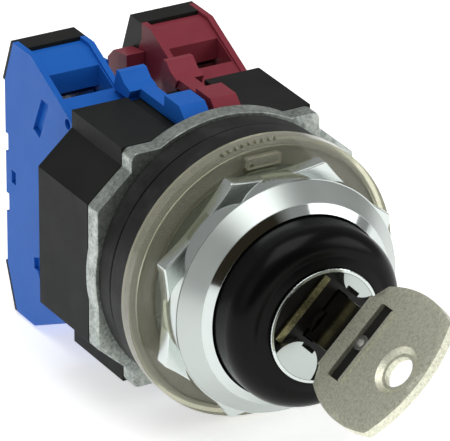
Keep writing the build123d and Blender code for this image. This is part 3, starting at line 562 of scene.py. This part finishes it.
@dataclass
class PanelFixing:
    """The parts clamped to the panel: zinc body, gaskets, clear washer, octagonal ring and collar.

    Sizes are in millimetres and angles in degrees. Y runs from the key to the contact blocks.
    """

    body_round: float = 0.25
    washer_round: float = 0.12
    seal_bore: float = 15.0
    seal_round: float = 0.35
    seal_step: float = 0.4
    seal_step_width: float = 1.2
    flats: float = 36.0
    nut_front: float = -6.9
    nut_rear: float = -4.6
    nut_corner_round: float = 0.35
    nut_corner_angle: float = 20.0
    nut_rim_round: float = 0.22
    nut_rim_angle: float = 60.0
    nut_round_steps: int = 3
    nut_shading: float = 50.0
    flat_hollow: float = 0.7
    flat_steps: int = 14
    fine_steps: int = 192
    hub_bore: float = 15.0
    hub_radius: float = 16.9
    hub_rear: float = -2.0
    hub_front: float = -5.0
    hub_round: float = 0.2
    wall_bore: float = 15.2
    wall_rear: float = -5.5
    wall_under_crown: float = 0.02
    wall_slope: float = 0.3
    crown_bore: float = 15.0
    crown_radius: float = 17.5
    crown_inset: float = 0.12
    crown_top: float = -9.2
    crown_slope: float = 0.4
    crown_round: float = 0.06
    crease_radius: float = 15.1
    crease: float = -12.0
    lip_bore: float = 14.9
    lip_radius: float = 13.75
    lip_inset: float = 0.02
    lip_front: float = -12.8
    lip_rear: float = -10.6
    lip_round: float = 0.05
    foot_radius: float = 14.6
    foot_front: float = -10.5
    foot_rear: float = -9.6
    collar_bore: float = 8.6
    collar_radius: float = 13.5
    collar_front: float = -19.0
    collar_round: float = 3.2
    collar_steps: int = 10
    collar_rim: tuple[tuple[float, float], ...] = ((8.6, 0.4), (9.0, 0.42), (9.9, 0.06))
    barrel_round: float = 0.06

    def build(self, shop: Workshop) -> None:
        """Builds every piece.

        Args:
            shop: The workshop.
        """
        self.body(shop)
        self.seals(shop)
        self.ring(shop)
        self.collar(shop)

    def body(self, shop: Workshop) -> None:
        """The zinc body with its horned plate."""
        piece = shop.softened("body_plate", "operator_body", self.body_round)
        shop.put(piece, "operator", "zinc", ["operator_body"])

    def seals(self, shop: Workshop) -> None:
        """The two gaskets and the clear washer.

        Args:
            shop: The workshop.
        """
        for node, name in (("front_gasket", "seal_front"), ("rear_gasket", "seal_rear")):
            low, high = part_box(node)
            outer = high.x / MM
            y0, y1 = low.y / MM, high.y / MM
            front_edge = [(outer, y0)]
            if node == "rear_gasket":
                rim = outer - self.seal_step_width
                front_edge = [(rim, y0), (rim, y0 + self.seal_step), (outer, y0 + self.seal_step)]
            profile = [(self.seal_bore, y0), *front_edge, (outer, y1), (self.seal_bore, y1)]
            piece = shop.turned(name, profile, self.seal_round)
            shop.put(piece, "operator", "rubber", [node])
        piece = shop.softened("washer_plate", "thrust_washer", self.washer_round)
        shop.put(piece, "operator", "washer", ["thrust_washer"])

    def nut_outline(self) -> list[tuple[float, float, float]]:
        """The octagon with hollow flats.

        Returns:
            Its points on the rear plane, in metres.
        """
        apothem = self.flats / 2
        corner = apothem / math.cos(math.pi / 8)
        points = []
        for i in range(8):
            middle = math.radians(45 * i)
            for j in range(self.flat_steps):
                share = 2 * j / self.flat_steps - 1
                along = share * corner * math.sin(math.pi / 8)
                out = apothem - self.flat_hollow * (1 - share * share)
                points.append(((out * math.cos(middle) - along * math.sin(middle)) * MM, self.nut_rear * MM,
                               (out * math.sin(middle) + along * math.cos(middle)) * MM))
        return points

    def ring(self, shop: Workshop) -> None:
        """The octagonal nut with its wall, crown, lip and hub.

        Args:
            shop: The workshop.
        """
        bm = bmesh.new()
        bm.faces.new([bm.verts.new(point) for point in self.nut_outline()])
        out = bmesh.ops.extrude_face_region(bm, geom=bm.faces[:])
        moved = [v for v in out["geom"] if isinstance(v, bmesh.types.BMVert)]
        bmesh.ops.translate(bm, verts=moved, vec=(0, (self.nut_front - self.nut_rear) * MM, 0))
        corners = [e for e in bm.edges if abs(e.verts[0].co.y - e.verts[1].co.y) > 1e-4
                   and e.calc_face_angle(0.0) > math.radians(self.nut_corner_angle)]
        bmesh.ops.bevel(bm, geom=corners, offset=self.nut_corner_round * MM, affect="EDGES",
                        segments=self.nut_round_steps, profile=0.5, material=-1)
        rims = [e for e in bm.edges
                if len(e.link_faces) == 2 and e.calc_face_angle(0.0) > math.radians(self.nut_rim_angle)]
        bmesh.ops.bevel(bm, geom=rims, offset=self.nut_rim_round * MM, affect="EDGES",
                        segments=self.nut_round_steps, profile=0.5, material=-1)
        nut = shop.finish_mesh("ring_nut", bm, self.nut_shading)
        shop.put(nut, "operator", "nut", ["locking_ring"])
        wall = shop.turned("ring_wall", [
            (self.wall_bore, self.wall_rear), (self.crown_radius, self.wall_rear),
            (self.crown_radius, self.crown_top + self.wall_under_crown),
            (self.wall_bore, self.crown_top + self.wall_slope)], 0.0, self.fine_steps)
        shop.put(wall, "operator", "chrome", ["locking_ring"])
        crown = shop.turned("ring_crown", [
            (self.crown_bore, self.crown_top + self.crown_slope),
            (self.crown_radius - self.crown_inset, self.crown_top), (self.crease_radius, self.crease),
            (self.crown_bore, self.crease)], self.crown_round, self.fine_steps)
        shop.put(crown, "operator", "satin", ["locking_ring"])
        lip = shop.turned("ring_lip", [
            (self.lip_bore, self.crease), (self.crease_radius - self.lip_inset, self.crease),
            (self.lip_radius, self.lip_front), (self.lip_radius, self.lip_rear),
            (self.lip_bore, self.lip_rear)], self.lip_round, self.fine_steps)
        shop.put(lip, "operator", "chrome", ["locking_ring"])
        hub = shop.turned("ring_hub", [
            (self.hub_bore, self.hub_rear), (self.hub_radius, self.hub_rear),
            (self.hub_radius, self.hub_front), (self.hub_bore, self.hub_front)], self.hub_round)
        shop.put(hub, "operator", "chrome", ["locking_ring"])

    def collar(self, shop: Workshop) -> None:
        """The gloss black collar, and the lock barrel whose bright rim shows inside it.

        Args:
            shop: The workshop.
        """
        arc = []
        for i in range(self.collar_steps + 1):
            turn = math.radians(90 * i / self.collar_steps)
            arc.append((self.collar_radius - self.collar_round * (1 - math.cos(turn)),
                        self.collar_front + self.collar_round * (1 - math.sin(turn))))
        rim = [(radius, self.collar_front - ahead) for radius, ahead in self.collar_rim]
        profile = [(self.foot_radius, self.foot_front), (self.foot_radius, self.foot_rear),
                   (self.collar_bore, self.foot_rear), *rim, *reversed(arc),
                   (self.collar_radius, self.foot_front)]
        piece = shop.turned("collar", profile, 0.0, self.fine_steps)
        shop.put(piece, "operator", "collar", ["bezel_collar"])
        barrel = shop.softened("barrel_rim", "lock_barrel", self.barrel_round)
        shop.put(barrel, "operator", "chrome", ["lock_barrel"])


@dataclass
class CylinderLock:
    """The turning plug with its bright pads, black face and brass strip. Sizes are in millimetres."""

    plug_round: float = 0.10
    face_round: float = 0.06
    strip_round: float = 0.08
    wafers: int = 4

    def build(self, shop: Workshop) -> None:
        """Builds every piece.

        Args:
            shop: The workshop.
        """
        head = shop.softened("plug_head", "lock_plug", self.plug_round)
        shop.put(head, "lock_core", "plug_chrome", ["lock_plug"])
        floor = shop.softened("plug_floor", "plug_face", self.face_round)
        shop.put(floor, "lock_core", "face", ["plug_face"])
        strip = shop.softened("strip", "shutter_spring", self.strip_round)
        shop.put(strip, "lock_core", "strip", ["shutter_spring"])
        shop.dress("cam_rotor", "white")
        shop.dress("cam_screw", "steel")
        for i in range(1, self.wafers + 1):
            shop.dress(f"wafer_{i}", "brass")


@dataclass
class FlatKey:
    """The flat key: polished blade and blasted bow. Sizes are in millimetres."""

    metal_round: float = 0.08
    trim_round: float = 0.06

    def build(self, shop: Workshop) -> None:
        """Builds every piece.

        Args:
            shop: The workshop.
        """
        blade = shop.softened("blade", "key_blade", self.metal_round)
        shop.put(blade, "key", "blade", ["key_blade"])
        bow = shop.softened("bow", "key_bow", self.metal_round)
        shop.put(bow, "key", "key", ["key_bow"])
        # Painted shade: a near-black inlay set in the bow's deep slot, where the recess only looks black
        # from its depth.
        inlay = shop.softened("inlay", "key_inlay", self.trim_round)
        shop.put(inlay, "key", "inlay", ["key_inlay"])
        rivet = shop.softened("rivet", "key_rivet", self.trim_round)
        shop.put(rivet, "key", "steel", ["key_rivet"])


@dataclass
class Adapter:
    """The black housing between the body and the contact blocks. Sizes are in millimetres."""

    edge_round: float = 0.3

    def build(self, shop: Workshop) -> None:
        """Builds every piece.

        Args:
            shop: The workshop.
        """
        piece = shop.softened("housing", "adapter_housing", self.edge_round)
        shop.put(piece, "operator", "housing", ["adapter_housing"])
        for node in ("housing_screws", "detent_balls", "detent_springs", "barrel_clip"):
            shop.dress(node, "steel")


@dataclass
class ContactBlock:
    """One contact block: coloured shell, black rear cover and the working parts inside.

    Sizes are in millimetres.
    """

    side: Side
    shell_finish: str
    shell_slot: str
    edge_round: float = 0.15
    inner: dict[str, str] = field(default_factory=lambda: {
        "upper_contact": "brass", "lower_contact": "brass", "terminal_screws": "steel",
        "wire_clamps": "steel", "return_spring": "steel", "plunger": "white", "bridge": "copper",
        "contact_spring": "steel"})

    def build(self, shop: Workshop) -> None:
        """Builds every piece.

        Args:
            shop: The workshop.
        """
        block = f"{self.side.value}_block"
        shell = shop.softened(f"{block}_case", f"{block}_shell", self.edge_round)
        shop.put(shell, "operator", self.shell_finish, [f"{block}_shell"])
        cover = shop.softened(f"{block}_lid", f"{block}_rear_cover", self.edge_round)
        shop.put(cover, "operator", "cover", [f"{block}_rear_cover"])
        for part, finish in self.inner.items():
            shop.dress(f"{block}_{part}", finish)


@dataclass
class Studio:
    """Pale floor, soft light and the camera."""

    azimuth: float = 29.19
    elevation: float = 25.22
    distance: float = 0.8637
    focal: float = 6197.7
    shift_right: float = -4.037
    shift_up: float = 7.131
    dark_way: tuple[float, float, float] = (-0.20, -0.95, 0.22)
    dark_edge: float = 0.78
    dark_blend: float = 0.09
    dark_colour: Colour = (0.030, 0.024, 0.016)
    fill: float = 0.35
    floor_half: float = 3.0
    floor_gap: float = 0.0005
    sensor: float = 36.0
    frame_width: float = 450.0
    lamps: tuple[tuple[str, tuple[float, float, float], float, float], ...] = (
        ("top_light", (-0.05, -0.10, 0.60), 0.50, 2.0),
        ("right_light", (0.50, -0.35, 0.25), 0.35, 0.9),
        ("left_light", (-0.55, -0.20, 0.25), 0.35, 0.12),
    )

    def build(self) -> None:
        """Builds the floor, the lights and the camera."""
        self.floor()
        self.world()
        self.camera()
        for name, place, size, power in self.lamps:
            self.lamp(name, place, size, power)

    def floor(self) -> None:
        """A wide pale floor under the switch."""
        bottom = CAD_BOX[0][2]
        bm = bmesh.new()
        bmesh.ops.create_grid(bm, x_segments=2, y_segments=2, size=self.floor_half,
                              matrix=Matrix.Translation((0, 0, bottom - self.floor_gap)))
        mesh = bpy.data.meshes.new("floor")
        bm.to_mesh(mesh)
        bm.free()
        floor = Workshop.link("floor", mesh)
        sheet = NodeSheet("floor_white")
        sheet.set(Base_Color=grey(0.92), Roughness=0.8, Emission_Color=grey(1.0), Emission_Strength=0.60)
        mesh.materials.append(sheet.material)

    def world(self) -> None:
        """Grey surroundings with a dark opening in front of the switch."""
        world = bpy.data.worlds.new("studio")
        bpy.context.scene.world = world
        world.use_nodes = True
        tree = world.node_tree
        background = tree.nodes["Background"]
        coords = tree.nodes.new("ShaderNodeTexCoord")
        dot = tree.nodes.new("ShaderNodeVectorMath")
        dot.operation = "DOT_PRODUCT"
        dot.inputs[1].default_value = Vector(self.dark_way).normalized()
        tree.links.new(coords.outputs["Generated"], dot.inputs[0])
        ramp = tree.nodes.new("ShaderNodeValToRGB")
        ramp.color_ramp.elements[0].position = self.dark_edge
        ramp.color_ramp.elements[0].color = (*grey(self.fill), 1.0)
        ramp.color_ramp.elements[1].position = self.dark_edge + self.dark_blend
        ramp.color_ramp.elements[1].color = (*self.dark_colour, 1.0)
        tree.links.new(dot.outputs["Value"], ramp.inputs["Fac"])
        tree.links.new(ramp.outputs["Color"], background.inputs["Color"])

    def lamp(self, name: str, place: Sequence[float], size: float, power: float) -> None:
        """A square soft light that faces the switch.

        Args:
            name: The light's name.
            place: Where it stands, in metres.
            size: Its side, in metres.
            power: Its power, in watts.
        """
        data = bpy.data.lights.new(name, "AREA")
        data.shape = "SQUARE"
        data.size = size
        data.energy = power
        lamp = bpy.data.objects.new(name, data)
        bpy.context.scene.collection.objects.link(lamp)
        lamp.location = place
        lamp.rotation_euler = (-Vector(place)).to_track_quat("-Z", "Y").to_euler()

    def camera(self) -> None:
        """The camera, with no tilt about its own axis."""
        az, el = math.radians(self.azimuth), math.radians(self.elevation)
        back = Vector((-math.sin(az) * math.cos(el), -math.cos(az) * math.cos(el), math.sin(el)))
        right = Vector((math.cos(az), -math.sin(az), 0.0))
        up = back.cross(right)
        target = right * self.shift_right * MM + up * self.shift_up * MM
        data = bpy.data.cameras.new("camera")
        data.sensor_width = self.sensor
        data.sensor_fit = "HORIZONTAL"
        data.lens = self.focal * self.sensor / self.frame_width
        data.clip_end = 20.0
        camera = bpy.data.objects.new("camera", data)
        bpy.context.scene.collection.objects.link(camera)
        turn = Matrix((right, up, back)).transposed().to_4x4()
        camera.matrix_world = Matrix.Translation(target + back * self.distance) @ turn
        bpy.context.scene.camera = camera


def main() -> None:
    """Builds the switch and its studio."""
    logging.basicConfig(level=logging.INFO, format="%(name)s: %(message)s")
    bpy.context.scene.view_settings.view_transform = "Standard"
    Studio().build()
    shop = Workshop(Finishes())
    PanelFixing().build(shop)
    CylinderLock().build(shop)
    FlatKey().build(shop)
    Adapter().build(shop)
    ContactBlock(Side.NORMALLY_OPEN, "blue", "block_blue").build(shop)
    ContactBlock(Side.NORMALLY_CLOSED, "red", "block_red").build(shop)


if __name__ == "__main__":
    main()
